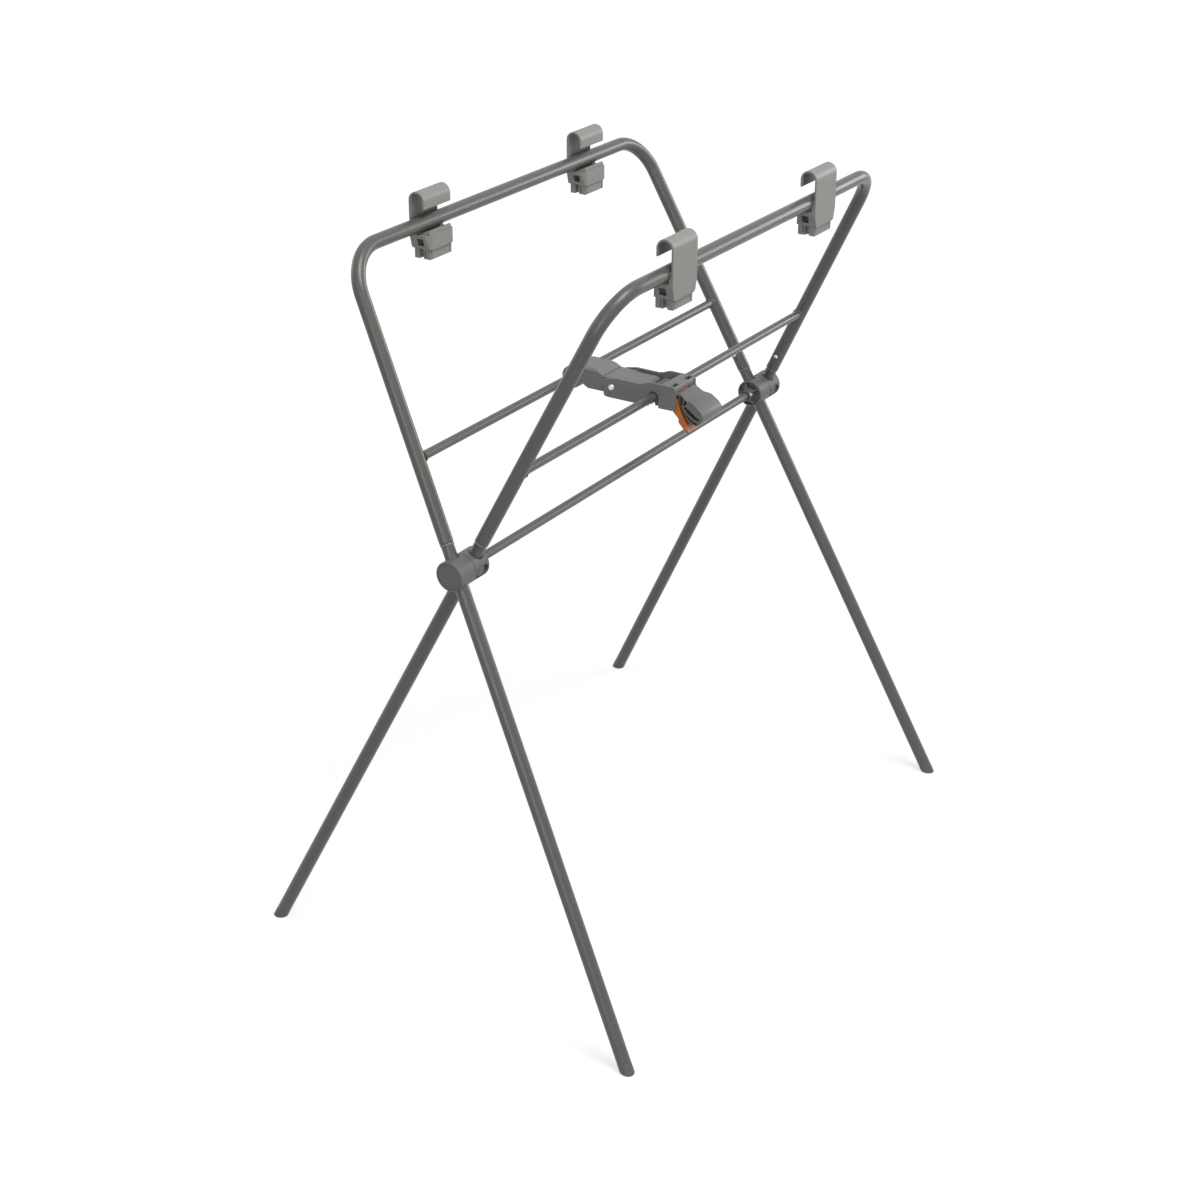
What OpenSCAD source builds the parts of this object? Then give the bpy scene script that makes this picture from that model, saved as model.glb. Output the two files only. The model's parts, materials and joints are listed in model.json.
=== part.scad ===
// Folding X-frame stand that carries a baby bath by its rim.
// Two identical tube frames cross at a pair of plastic hubs; the second is the
// first turned half a turn about Z. A hinged brace with a hand grip and a
// release lever ties the two crossbars. Four clip-on hooks sit on the top rails.
// Origin: on the floor, midway between the feet. +X along the hub axis, +Z up.

/* [Tubes] */
// Outer diameter of the frame tubes
tube_d = 19; // [16:0.5:25]
// Wall of the frame tubes
tube_wall = 0.8; // [0.6:0.1:1.5]
// Diameter of the crossbars and of the bar between the hubs
cross_d = 12; // [10:0.5:16]
// Wall of the crossbars and of the hub bar
cross_wall = 1; // [0.8:0.1:2]

/* [Frames] */
// Height of the hub axis above the floor
hub_h = 616; // [560:1:680]
// Lean of each frame from upright, in degrees, with the stand open
lean = 26.5; // [22:0.5:30]
// Splay of the legs in the plane of the frame, in degrees
splay = 5.8; // [0:0.1:8]
// Distance from the hub axis to the top rail, in the plane of the frame
rail_s = 422; // [380:1:460]
// Distance from the hub axis to the crossbar, in the plane of the frame
cross_s = 151.7; // [140:0.1:165]
// Radius of the rail corners, on the tube's centre line
bend_r = 62; // [45:1:80]
// Half spacing of the outer legs at the hub axis
leg_out = 400.8; // [380:0.2:420]
// Centre distance between the outer and the inner leg in one hub
leg_pitch = 28.4; // [27:0.2:34]
// Where the upper frame's tube ends, above the hub axis
stub_from = 35.5; // [30:0.5:60]
// Length of stub inside the upper tube
stub_in = 42; // [30:1:60]
// Height of the snap button above the end of the upper tube
snap_up = 24.5; // [18:0.5:35]
// Diameter of the snap button
snap_d = 6; // [5:0.5:8]
// Length of the foot cap on the leg's axis
foot_len = 14; // [10:1:30]

/* [Hubs] */
// Outer radius of the hub barrel
hub_r = 20.5; // [19:0.5:26]
// Plastic outside the outer leg's tube, along the hub axis
hub_wall_out = 7.5; // [6:0.5:12]
// Plastic inside the inner leg's tube, along the hub axis
hub_wall_in = 6; // [5:0.5:12]
// Radius of the hub's end cap
cap_r = 18.2; // [15:0.2:19]
// Radius of the boss that holds the hub bar
boss_r = 9; // [8:0.5:12]
// Length of that boss past the hub's inner face
boss_len = 13; // [8:1:20]
// Diameter of the pivot bolt
bolt_d = 6; // [5:0.5:8]

/* [Hooks] */
// Half spacing of the hooks along each rail
hook_x = 185; // [150:1:220]
// Width of a hook along the rail
hook_w = 58; // [45:1:70]
// Thickness of the hook's strap
hook_t = 2.6; // [2:0.1:4]
// Inner width of the hook's mouth
mouth_w = 19.2; // [14:0.2:26]
// Height of the mouth's centre above the rail's axis
mouth_h = 31.5; // [26:0.5:45]
// Length of the hook's lip
lip_len = 9.5; // [5:0.5:20]
// Depth of the clamp's sleeve toward the inside of the stand
sleeve_v = 17.8; // [15:0.2:24]
// Top of the sleeve below the rail's axis
sleeve_top = 13.5; // [11:0.5:18]
// Height of the sleeve
sleeve_h = 19.5; // [14:0.5:30]
// Wall at each end of the hook's sleeve, with the clamp block between them
end_wall = 5.75; // [3:0.25:9]
// How far the clamp block hangs below the sleeve
clamp_drop = 13.5; // [6:0.5:20]

/* [Brace] */
// Middle of the brace on the X axis
brace_x = -10; // [-20:1:20]
// Half width of the rear arm
arm_hw = 23; // [18:0.5:30]
// Thickness of the front arm's side walls
wall_t = 3; // [2:0.2:5]
// Outer radius of the rear arm's clasp on its crossbar
clasp_r = 16; // [12:0.5:18]
// Diameter of the brace's pivot pin
pin_d = 5; // [4:0.5:8]
// Reach of the rear arm's tongue past the pin
tongue_len = 50; // [30:1:52]
// Width of that tongue
tongue_w = 39; // [30:1:44]
// Distance from the front crossbar to the release lever's pin
lever_at = 27; // [24:1:32]
// Travel of the fold between the frames, in degrees
fold_range = 38; // [30:1:38]

/* [Clearances] */
// Radial clearance of a tube or pin in its hole
fit = 0.05; // [0.02:0.01:0.1]
// Gap between plastic parts that move past each other
gap = 0.5; // [0.3:0.1:1]

/* [Hidden] */
$fn = 64;
tube_r = tube_d / 2;
tube_ir = tube_r - tube_wall;
stub_r = tube_ir - fit;
stub_ir = stub_r - tube_wall;
leg_in = leg_out - leg_pitch;
// positions on the leg's own axis
cs = cos(splay);
rail_top_out = leg_out - rail_s * tan(splay);
rail_top_in = leg_in - rail_s * tan(splay);
turn = 90 - splay;
bend_tan = bend_r * tan(turn / 2);
leg_top = rail_s / cs - bend_tan;
foot_l = hub_h / (cos(lean) * cs);
rail_y = rail_s * sin(lean);
rail_z = hub_h + rail_s * cos(lean);
cross_y = cross_s * sin(lean);
cross_z = hub_h + cross_s * cos(lean);
bar_r = cross_d / 2;
swell = 0.1; // wall thickening at a bend
lap = 2; // straight tube run into the bend
// hub stations along X
hub_end = leg_out + tube_r + hub_wall_out;
hub_mid = leg_out - leg_pitch / 2;
hub_face = leg_in - tube_r - hub_wall_in;
boss_end = hub_face - boss_len;
bar_end = boss_end + 11;
cap_t = 2.4;
head_t = 3.8;
nut_t = 4;
screw_x = boss_end + 3.6;
spigot_r1 = hub_r - 12.3;
spigot_r2 = hub_r - 8.5;
spigot_h = 3;
// brace
b_in = arm_hw + 1.5;
b_out = b_in + wall_t;
arm_top = 19;
top_t = 3.6;
lever_u = cross_y + lever_at;
clamp_w = hook_w - 2 * end_wall;
snap_s = stub_from / cs + snap_up;
tube_c = [0.36, 0.35, 0.34];
hub_c = [0.42, 0.43, 0.41];
hook_c = [0.55, 0.56, 0.54];
dark_c = [0.1, 0.1, 0.1];
steel_c = [0.75, 0.75, 0.75];
orange_c = [0.75, 0.38, 0.18];

// ---------- placing ----------
module frame_a() translate([0, 0, hub_h]) rotate([-lean, 0, 0]) children();
module frame_b() rotate([0, 0, 180]) frame_a() children();
module outer_side() mirror([1, 0, 0]) children();
// Z along a leg's axis, for a leg on the +X side
module leg_axis(x0) translate([x0, 0, 0]) rotate([0, -splay, 0]) children();
// Z along X
module along_x(x0) translate([x0, 0, 0]) rotate([0, 90, 0]) children();
module rod(r, h) cylinder(r = r, h = h);
// a flat drawing in (inward, up) becomes a slab across the rail
module slab(w, at = 0) translate([at, 0, 0]) rotate([90, 0, -90])
  linear_extrude(height = w, center = true) children();
module at_rail_a(sx) translate([sx * hook_x, rail_y, rail_z]) children();
module at_rail_b(sx) rotate([0, 0, 180]) at_rail_a(sx) children();
module at_brace() translate([brace_x, 0, cross_z]) children();

// ---------- tubes ----------
module pipe(r1, r2, h) difference() {
  rod(r2, h);
  translate([0, 0, -1]) rod(r1, h + 2);
}
module u_tube() {
  // each side of the inverted U with its bend, then the rail
  for (side = [0, 1]) mirror([side, 0, 0]) {
    x0 = side == 1 ? leg_out : leg_in;
    leg_axis(x0) translate([0, 0, stub_from / cs])
      pipe(tube_ir, tube_r, leg_top - stub_from / cs + lap);
    leg_axis(x0) translate([-bend_r, 0, leg_top]) rotate([90, 0, 0])
      rotate_extrude(angle = turn) translate([bend_r, 0]) difference() {
        circle(r = tube_r + swell);
        circle(r = tube_ir - swell);
      }
  }
  translate([0, 0, rail_s]) along_x(-rail_top_out + bend_tan - lap)
    pipe(tube_ir, tube_r, rail_top_out + rail_top_in - 2 * bend_tan + 2 * lap);
}
module upper_frame() color(tube_c) difference() {
  u_tube();
  outer_side() leg_axis(leg_out) translate([0, 0, snap_s]) rotate([0, -90, 0])
    rod(snap_d / 2 + gap / 2, 20);
  leg_axis(leg_in) translate([0, 0, snap_s]) rotate([0, -90, 0])
    rod(snap_d / 2 + gap / 2, 20);
}
module crossbar() color(tube_c) {
  xo = leg_out - cross_s * tan(splay);
  xi = leg_in - cross_s * tan(splay);
  difference() {
    union() {
      translate([0, 0, cross_s]) along_x(-xo) rod(bar_r, xo + xi);
      // weld beads
      translate([0, 0, cross_s]) along_x(-xo + tube_r - 1)
        cylinder(r1 = bar_r + 2.2, r2 = bar_r, h = 4.5);
      translate([0, 0, cross_s]) along_x(xi - tube_r - 3.5)
        cylinder(r1 = bar_r, r2 = bar_r + 2.2, h = 4.5);
    }
    translate([0, 0, cross_s]) along_x(-xo - 1) rod(bar_r - cross_wall, xo + xi + 2);
    outer_side() leg_axis(leg_out) rod(tube_r, leg_top);
    leg_axis(leg_in) rod(tube_r, leg_top);
  }
}
swage_at = 6;
bead_w = 2;
bead_h = 0.6;
bead_gap = 1;
module leg(x0) color(tube_c) difference() {
  leg_axis(x0) union() {
    translate([0, 0, -foot_l + foot_len]) rod(tube_r, foot_l - foot_len + swage_at);
    translate([0, 0, swage_at]) cylinder(r1 = tube_r, r2 = stub_r, h = 3);
    translate([0, 0, swage_at + 3])
      rod(stub_r, stub_from / cs + stub_in - swage_at - 3);
    // stop bead below the upper tube
    translate([0, 0, stub_from / cs - bead_gap - bead_w]) rotate_extrude()
      polygon([[stub_ir + 0.2, 0], [stub_r, 0], [stub_r + bead_h, bead_w * 0.3],
        [stub_r + bead_h, bead_w * 0.7], [stub_r, bead_w], [stub_ir + 0.2, bead_w]]);
  }
  leg_axis(x0) union() {
    translate([0, 0, -foot_l + foot_len - 1]) rod(tube_ir, foot_l - foot_len + swage_at + 1);
    translate([0, 0, swage_at]) cylinder(r1 = tube_ir, r2 = stub_ir, h = 3);
    translate([0, 0, swage_at + 3]) rod(stub_ir, stub_from / cs + stub_in);
    translate([0, 0, snap_s]) rotate([0, -90, 0]) rod(snap_d / 2 + fit, 20);
  }
  along_x(x0 - tube_d) rod(bolt_d / 2 + 0.3, 2 * tube_d);
}
// plug with a flush collar, cut flat on the floor
module foot(x0) leg_axis(x0) {
  translate([0, 0, -foot_l - 12]) rod(tube_r, foot_len + 12);
  translate([0, 0, -foot_l + foot_len]) rod(tube_ir - fit, 14);
  translate([0, 0, -foot_l + foot_len + 14])
    cylinder(r1 = tube_ir - fit, r2 = tube_ir - 2, h = 4);
}
module above_floor() intersection() {
  children();
  translate([-600, -500, 0]) cube([1200, 1000, 400]);
}

// ---------- hubs ----------
module barrel(x0, x1, c0, c1) along_x(x0) rotate_extrude()
  polygon([[0, 0], [hub_r - c0, 0], [hub_r, c0], [hub_r, x1 - x0 - c1],
    [hub_r - c1, x1 - x0], [0, x1 - x0]]);
module ring(x0, x1, r1, r2) along_x(x0) difference() {
  rod(r2, x1 - x0);
  translate([0, 0, -1]) rod(r1, x1 - x0 + 2);
}
// stadium-shaped prism on the outward side of a leg, from radius y0 to y1
module oval(x0, len, wid, y0, y1) translate([x0, y0, 0]) rotate([-90, 0, 0])
  linear_extrude(height = y1 - y0) {
    square([len - wid, wid], center = true);
    for (s = [-1, 1]) translate([s * (len - wid) / 2, 0]) circle(d = wid);
  }
plug_l = 24.6;
plug_w = 14.8;
plug_y = 13.2;
well_l = 26;
well_w = 17;
well_wall = 1.2;
well_up = 12.5; // turn of the wells up from the frame's own plane
module well(x0, grow, y0, y1) rotate([well_up, 0, 0])
  oval(x0, well_l + 2 * grow, well_w + 2 * grow, y0, y1);
module hub_outer() color(hub_c) difference() {
  barrel(hub_mid + gap / 2, hub_end, 0.6, 1.2);
  leg_axis(leg_out) translate([0, 0, -60]) rod(tube_r + fit, 120);
  ring(hub_mid, hub_mid + gap / 2 + spigot_h + 0.3, spigot_r1 - fit, spigot_r2 + fit);
  along_x(hub_end - cap_t) rod(cap_r + 0.15, 10);
  along_x(hub_end - cap_t - head_t - 0.3) rod(bolt_d + 1.2, 10);
  along_x(hub_mid - 5) rod(bolt_d / 2 + fit, 60);
  well(leg_out, 0, plug_y, hub_r + 5);
}
module hub_inner(screwed) color(hub_c) difference() {
  union() {
    difference() {
      barrel(hub_face, hub_mid - gap / 2, 1.2, 0.6);
      ring(hub_face - 1, hub_face + hub_wall_in - 1.2, boss_r, hub_r - 2.6);
    }
    // wall round the well where it crosses the hollow face
    intersection() {
      well(leg_in, well_wall, plug_y - 1.5, hub_r + 5);
      barrel(hub_face, hub_mid - gap / 2, 1.2, 0.6);
    }
    ring(hub_mid - gap / 2 - 1, hub_mid - gap / 2 + spigot_h, spigot_r1, spigot_r2);
    along_x(boss_end) cylinder(r1 = boss_r - 0.6, r2 = boss_r, h = boss_len + hub_wall_in - 1);
    // gussets from the boss to the rim
    for (a = [90, 167, 270, 360]) rotate([a, 0, 0])
      translate([0, 0, -0.8]) linear_extrude(height = 1.6)
        polygon([[hub_face + hub_wall_in - 1, 0], [screw_x + 3.6, 0], [screw_x + 3.6, boss_r - 0.3],
          [hub_face + 1.2, hub_r - 2.2], [hub_face + hub_wall_in - 1, hub_r - 2.2]]);
  }
  leg_axis(leg_in) translate([0, 0, -60]) rod(tube_r + fit, 120);
  along_x(boss_end - 1) rod(bar_r + fit, leg_in - boss_end + 1);
  along_x(boss_end - 1) rod(bar_r + 1, 2.5);
  along_x(leg_in) rod(bolt_d / 2 + fit, 60);
  well(leg_in, 0, plug_y, hub_r + 5);
  if (screwed) translate([screw_x, 0, 0]) rotate([90, 0, 0]) rod(2 + fit, 20);
}
module hub_cap() color(hub_c) along_x(hub_end - cap_t) rotate_extrude()
  polygon([[0, 0], [cap_r, 0], [cap_r, cap_t - 1.4], [cap_r - 0.5, cap_t - 0.9],
    [cap_r * 0.6, cap_t - 0.6], [0, cap_t - 0.5]]);
// domed oval plug over the rivet that holds the leg in the hub
module plug(x0) color(hub_c) rotate([well_up, 0, 0]) intersection() {
  oval(x0, plug_l, plug_w, plug_y, hub_r + 1);
  along_x(x0 - plug_l) rod(hub_r - 1, 2 * plug_l);
  translate([x0, -4.5, 0]) sphere(r = 23.6, $fn = 48);
}
module pivot_bolt() color(steel_c) {
  x1 = hub_end - cap_t - head_t;
  along_x(x1) rod(bolt_d + 0.8, head_t - 0.2);
  along_x(bar_end + 1.5) rod(bolt_d / 2, x1 - bar_end - 1.5);
  along_x(bar_end + 2.5) difference() {
    cylinder(r = bolt_d / 2 * 1.9, h = nut_t, $fn = 6);
    translate([0, 0, -1]) rod(bolt_d / 2 + 0.01, nut_t + 2);
  }
}
module hub_bar_body() color(tube_c) difference() {
  along_x(-bar_end) rod(bar_r, 2 * bar_end);
  along_x(-bar_end - 1) rod(bar_r - cross_wall, 2 * bar_end + 2);
  frame_dir() translate([screw_x, 0, 0]) rotate([90, 0, 0]) rod(2 + fit, 20);
}
module frame_dir() rotate([-lean, 0, 0]) children();
module screw_body() color(steel_c) translate([screw_x, 0, 0]) rotate([90, 0, 0]) {
  translate([0, 0, bar_r - cross_wall - 1]) rod(2, boss_r - bar_r + cross_wall + 1);
  translate([0, 0, boss_r - 0.4]) difference() {
    cylinder(r1 = 2.9, r2 = 2.3, h = 1.8);
    translate([-0.5, -4, 1]) cube([1, 8, 2]);
  }
}
// snap button: a round stud with a collar inside the stub, pointing inward
module snap(x0) color(steel_c) leg_axis(x0) translate([0, 0, snap_s]) rotate([0, -90, 0]) {
  translate([0, 0, stub_ir - 3.2]) rod(snap_d / 2, tube_r - stub_ir + 3.2);
  translate([0, 0, tube_r]) cylinder(r1 = snap_d / 2, r2 = snap_d / 2 - 1, h = 1.2);
  intersection() {
    translate([0, 0, stub_ir - 4.2]) rod(snap_d / 2 + 1.3, 3);
    rotate([0, 90, 0]) translate([0, 0, -10]) rod(stub_ir - 0.3, 20);
  }
}

// ---------- hooks ----------
rail_hole = tube_r + fit;
strap_o = -(tube_r + 0.8 + hook_t);
strap_i = strap_o + hook_t;
mouth_v = strap_i + mouth_w / 2;
lip_v = mouth_v + mouth_w / 2;
sleeve_bot = -(sleeve_top + sleeve_h);
module hook_outline() {
  // strap, half-round top and lip, drawn in (inward, up)
  translate([strap_o, sleeve_bot - 1]) square([hook_t, mouth_h - sleeve_bot + 1]);
  translate([mouth_v, mouth_h]) difference() {
    circle(r = mouth_w / 2 + hook_t);
    circle(r = mouth_w / 2);
    translate([-40, -80]) square([80, 80]);
  }
  translate([lip_v, mouth_h - lip_len]) square([hook_t, lip_len]);
  translate([lip_v + hook_t / 2, mouth_h - lip_len]) circle(d = hook_t);
  // cradle round the outer lower quarter of the rail
  difference() {
    translate([strap_o, -sleeve_top - 2]) square([-strap_o - 2, sleeve_top + 6]);
    circle(r = rail_hole);
    translate([-7, -sleeve_top + 1.5]) square([20, 30]);
  }
}
function arc(cx, cy, r, a0, a1, n = 6) =
  [for (i = [0:n]) let (a = a0 + (a1 - a0) * i / n) [cx + r * cos(a), cy + r * sin(a)]];
// front view of the hook: straight sides, drawn in to rounded lower corners
taper = 3;
module hook_face() {
  hw = hook_w / 2;
  b = sleeve_bot - 1;
  polygon(concat([[-hw, 60], [-hw, -17]], arc(-hw + taper + 5, b + 5, 5, 180, 270),
    arc(hw - taper - 5, b + 5, 5, 270, 360), [[hw, -17], [hw, 60]]));
}
module rounded_plan(w, v0, v1, r) {
  polygon(concat([[-w / 2, v0], [w / 2, v0]], arc(w / 2 - r, v1 - r, r, 0, 90),
    arc(-w / 2 + r, v1 - r, r, 90, 180)));
}
win_w = 10.5;
win_h = 10;
win_v = 8.2; // inner edge of the window from the rail's axis
win_at = 4.6;
module hook() color(hook_c) intersection() {
  difference() {
    union() {
      slab(hook_w) hook_outline();
      mirror([0, 1, 0]) translate([0, 0, sleeve_bot]) linear_extrude(height = sleeve_h)
        rounded_plan(hook_w, strap_i - 0.5, sleeve_v, 8);
    }
    // well for the clamp block
    mirror([0, 1, 0]) translate([-clamp_w / 2 - 0.4, strap_i, sleeve_bot - 2])
      cube([clamp_w + 0.8, sleeve_v - 2.2 - strap_i, sleeve_h + sleeve_top + 12]);
    // rail
    along_x(-hook_w) rod(rail_hole, 2 * hook_w);
    // window in each end
    translate([-hook_w, -win_v, sleeve_bot + win_at]) cube([2 * hook_w, win_w, win_h]);
  }
  rotate([90, 0, 0]) linear_extrude(height = 120, center = true) hook_face();
}
// clamp block: cradle on top, snap tabs at its faces and forked ends below
module clamp() color(hook_c) {
  v0 = strap_i + 0.3;
  v1 = sleeve_v - 2.5;
  z0 = sleeve_bot - clamp_drop;
  hw = clamp_w / 2;
  mirror([0, 1, 0]) difference() {
    translate([-hw, v0, z0]) cube([clamp_w, v1 - v0, -z0 - 8]);
    along_x(-hw - 1) rod(rail_hole, clamp_w + 2);
    translate([-hw - 1, v0 - 1, -sleeve_top + 1.5]) cube([clamp_w + 2, v1 - v0 - 1.6, 20]);
    // hollow behind each window of the sleeve
    for (s = [-1, 1]) translate([s * hw - 8, win_v - win_w, sleeve_bot + win_at])
      cube([16, win_w, win_h]);
    // slots that free the tabs
    for (s = [-1, 1]) {
      translate([s * (hw - 3.4) - 0.7, v1 - 7, z0 - 1]) cube([1.4, 8, clamp_drop + 9]);
      translate([s * (hw - 3.4) - 0.7, v0 - 1, z0 - 1]) cube([1.4, 6, clamp_drop + 9]);
      // forked ends
      translate([s * hw - 6, v0 + 8, z0 - 1]) cube([12, 6.5, clamp_drop + 4]);
      translate([s * hw - 3, v0 + 16.5, z0 - 1]) cube([6, 1.6, clamp_drop - 1]);
    }
    // hollow from below
    translate([-hw + 8, v0 + 3, z0 - 1]) cube([clamp_w - 16, v1 - v0 - 6, clamp_drop + 14]);
  }
}

// ---------- brace, drawn in (toward the front crossbar, up) ----------
module rear_arm() color(hub_c) at_brace() difference() {
  union() {
    translate([0, cross_y, 0]) along_x(-arm_hw) rod(clasp_r, 2 * arm_hw);
    slab(2 * arm_hw)
      polygon([[0.4 - cross_y, 0.4 - clasp_r], [0.4 - cross_y, clasp_r - 0.4],
        [-cross_y + 6, arm_top - 0.6],
        [-cross_y + 13, arm_top], [-34, arm_top], [-27, arm_top - 1.4], [-19, arm_top - 6],
        [-13, arm_top - 7.6], [12, arm_top - 7.6], [tongue_len - 3, arm_top - 8.2],
        [tongue_len, arm_top - 11], [tongue_len, 5], [tongue_len - 4, 3], [13, 2.5],
        [7, -9], [0, -10.5], [-16, -10.6], [-41, -11], [-47, -8], [-52, -3.5]]);
  }
  translate([0, cross_y, 0]) along_x(-arm_hw - 1) rod(bar_r + fit, 2 * arm_hw + 2);
  along_x(-arm_hw - 1) rod(pin_d / 2 + fit, 2 * arm_hw + 2);
  // bevelled top edges of the housing
  for (s = [-1, 1]) translate([s * arm_hw, 50, arm_top]) rotate([0, 45, 0])
    cube([4.6, 74, 4.6], center = true);
  // groove across the neck
  translate([-arm_hw - 1, 14.5, arm_top - 8.6]) cube([2 * arm_hw + 2, 1.6, 3]);
  // tongue narrower than the neck
  for (s = [-1, 1]) translate([s * (arm_hw + tongue_w / 2) / 2, -tongue_len, 0])
    cube([arm_hw - tongue_w / 2, 2 * tongue_len - 24, 60], center = true);
  // moulded pockets below
  for (s = [-1, 0, 1]) translate([s * 14.4 - 6, 17, -14]) cube([12, 26, 24]);
  for (s = [-1, 1]) translate([s * 9.6 - 8, -tongue_len + 4, 1]) cube([16, 30, 7.4]);
}
module brace_pin() color(steel_c) at_brace() along_x(-arm_hw - 1) rod(pin_d / 2, 2 * arm_hw + 2);
end_u = cross_y + 34.5;
plate_u = cross_y + 12.5; // rear edge of the top plate
lip_n = 11.9; // lower edge of the plate's front lip
tab_w = 12.5; // windows of the plate, for the grip's tabs
tab_x = 17.3;
tab_l = 7;
notch_w = 21; // slit over the release lever
module front_outline() {
  difference() {
    polygon(concat(arc(-8, 6.5, 4.5, 180, 90), [[8, 14.2], [44, 14.2], [52, 16], [58, 18.8],
      [64, 19.9]], arc(end_u - 4, 15.9, 4, 90, 0), arc(end_u - 6, -8, 6, 0, -90),
      [[80, -14.4], [73, -14.6], [40, -14.8], [-4, -15.2]], arc(-8, -10.5, 4.5, 270, 180)));
    translate([cross_y, 0]) circle(r = bar_r + 2);
    translate([cross_y - bar_r - 2, -30]) square([2 * bar_r + 4, 30]);
    circle(r = pin_d / 2 + fit);
  }
}
module front_arm() color(hub_c) at_brace() difference() {
  union() {
    for (s = [-1, 1]) slab(wall_t, s * (b_in + wall_t / 2)) front_outline();
    // top plate over the lever, with its front lip
    slab(2 * b_in + 2) polygon(concat([[plate_u, 19.9 - top_t], [plate_u, 19.9]],
      arc(end_u - 4.4, 16.5, 3.4, 90, 0), [[end_u - 1, lip_n], [end_u - 3, lip_n],
      [end_u - 3, 19.9 - top_t]]));
    // ribs behind the plate, curled over at their far ends
    for (i = [0:2]) translate([0, -plate_u + 2.6 + i * 3.2, 0]) {
      translate([-b_in - 1, 0, 12.4]) cube([b_in + 2.2, 1.2, 6]);
      translate([1, 1.2, 15.6]) rotate([90, 0, 0]) intersection() {
        pipe(2.8 - 1.2, 2.8, 1.2);
        translate([0, -3, -1]) cube([4, 6, 4]);
      }
    }
    for (x = [-12, 1]) translate([x, -plate_u - 2, 12.4]) cube([2, 12.4, 3.4]);
    translate([-12, -plate_u - 2, 12.4]) cube([15, 3, 5]);
  }
  // two windows in the plate
  for (s = [-1, 1]) translate([s * tab_x - tab_w / 2, -end_u + 3.2, lip_n + 1])
    cube([tab_w, tab_l, 20]);
  // slit over the lever
  translate([-notch_w / 2, -end_u, lip_n - 1]) cube([notch_w, 3.4, 1.4]);
  // blind holes for the lever's pin
  translate([0, -lever_u, 0]) along_x(-b_in - 2) rod(2 + fit, 2 * b_in + 4);
}
// dark cradle that turns on the crossbar, from wall to wall
module bar_bearings() color(dark_c) at_brace() slab(2 * b_out) difference() {
  union() {
    translate([cross_y, 0]) circle(r = bar_r + 2 - fit);
    translate([cross_y - bar_r - 2 + fit, -11]) square([2 * bar_r + 4 - 2 * fit, 11]);
  }
  translate([cross_y, 0]) circle(r = bar_r + fit);
  translate([cross_y - 3, -12]) square([6, 5]);
}
// slotted heads of the pivot pin, seated on the outside of the walls
module pin_heads() color(steel_c) at_brace() for (s = [0, 1]) mirror([s, 0, 0])
  along_x(b_in + 0.2) {
    rod(pin_d / 2, wall_t);
    translate([0, 0, wall_t - 0.2]) difference() {
      cylinder(r1 = 4.6, r2 = 3.4, h = 2);
      rotate([0, 0, 55]) translate([-6, -0.5, 1.1]) cube([12, 1, 2]);
    }
  }

// ---------- grip and release lever ----------
grip_root = end_u + 0.8;
// side profile from the root along the back, round the tip and along the underside
grip_back = [[grip_root, 10.8], [end_u + 2.6, 13], [end_u + 5, 15], [end_u + 8, 14.2],
  [end_u + 12, 12.2], [end_u + 16, 9], [end_u + 19.4, 5.6], [end_u + 22.5, 3.6],
  [end_u + 26, 1.6], [end_u + 31, -3.4], [end_u + 36, -8.8], [end_u + 40.3, -15.5],
  [end_u + 40.4, -19], [end_u + 38.8, -22.4], [end_u + 35.4, -27]];
grip_belly = [[end_u + 30.2, -27.4], [end_u + 17.8, -18.6], [end_u + 12.3, -9.6],
  [end_u + 5.1, 4.9], [grip_root, 8]];
// a slot that follows the belly, moved toward the back
module grip_slot(dv, w) polygon(concat(
  [for (p = slot_path) [p[0] + dv * 0.55, p[1] + dv * 0.84]],
  [for (i = [len(slot_path) - 1:-1:0]) let (p = slot_path[i])
    [p[0] + (dv + w) * 0.55, p[1] + (dv + w) * 0.84]]));
slot_path = [[end_u + 11.4, -4.6], [end_u + 15, -10.6], [end_u + 19.4, -15.4],
  [end_u + 25, -19.6], [end_u + 33, -24.4]];
module grip() color(hub_c) at_brace() {
  difference() {
    slab(2 * b_out - 4) polygon(concat(grip_back, grip_belly));
    for (s = [-1, 1]) {
      slab(10, s * (b_out - 2 - 4.9)) grip_slot(0, 2.4);
      slab(10, s * (b_out - 2 - 4.9)) grip_slot(4.2, 2.4);
      // window near the root with a thin rib left in it
      slab(10, s * (b_out - 2 - 4.9)) polygon([[end_u + 6.4, 8.6], [end_u + 8.6, 8.2],
        [end_u + 11, -1.4], [end_u + 9.4, -3.4], [end_u + 7, 1.4]]);
      slab(10, s * (b_out - 2 - 4.9)) polygon([[end_u + 10.2, 7.4], [end_u + 15.4, 3.8],
        [end_u + 15, -1], [end_u + 12.6, -1.8]]);
    }
  }
  // two tabs that pass under the lip and snap up into the windows of the plate
  for (s = [-1, 1]) {
    translate([s * tab_x - tab_w / 2 + 0.3, -grip_root - 3, 7.6])
      cube([tab_w - 0.6, grip_root + 3 - (end_u - 10), lip_n - 0.4 - 7.6]);
    translate([s * tab_x - tab_w / 2 + 0.3, -end_u + 5.6, lip_n - 0.6])
      cube([tab_w - 0.6, 3.6, 5.4]);
  }
}
module lever_outline() {
  translate([lever_u, 0]) circle(r = 5);
  polygon([[lever_u, -5], [lever_u + 4, -11], [end_u - 5, -15.6], [end_u - 4, -16],
    [end_u + 4.6, -24], [end_u + 4.4, -29], [end_u + 18, -43], [end_u + 21.5, -40.4],
    [end_u + 13, -27], [end_u + 5, -14], [end_u + 1.4, -4], [end_u - 0.6, 8],
    [end_u - 1, lip_n - 1.1], [end_u - 3.4, lip_n - 1.1], [end_u - 4.6, 4], [lever_u, 5]]);
}
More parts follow.
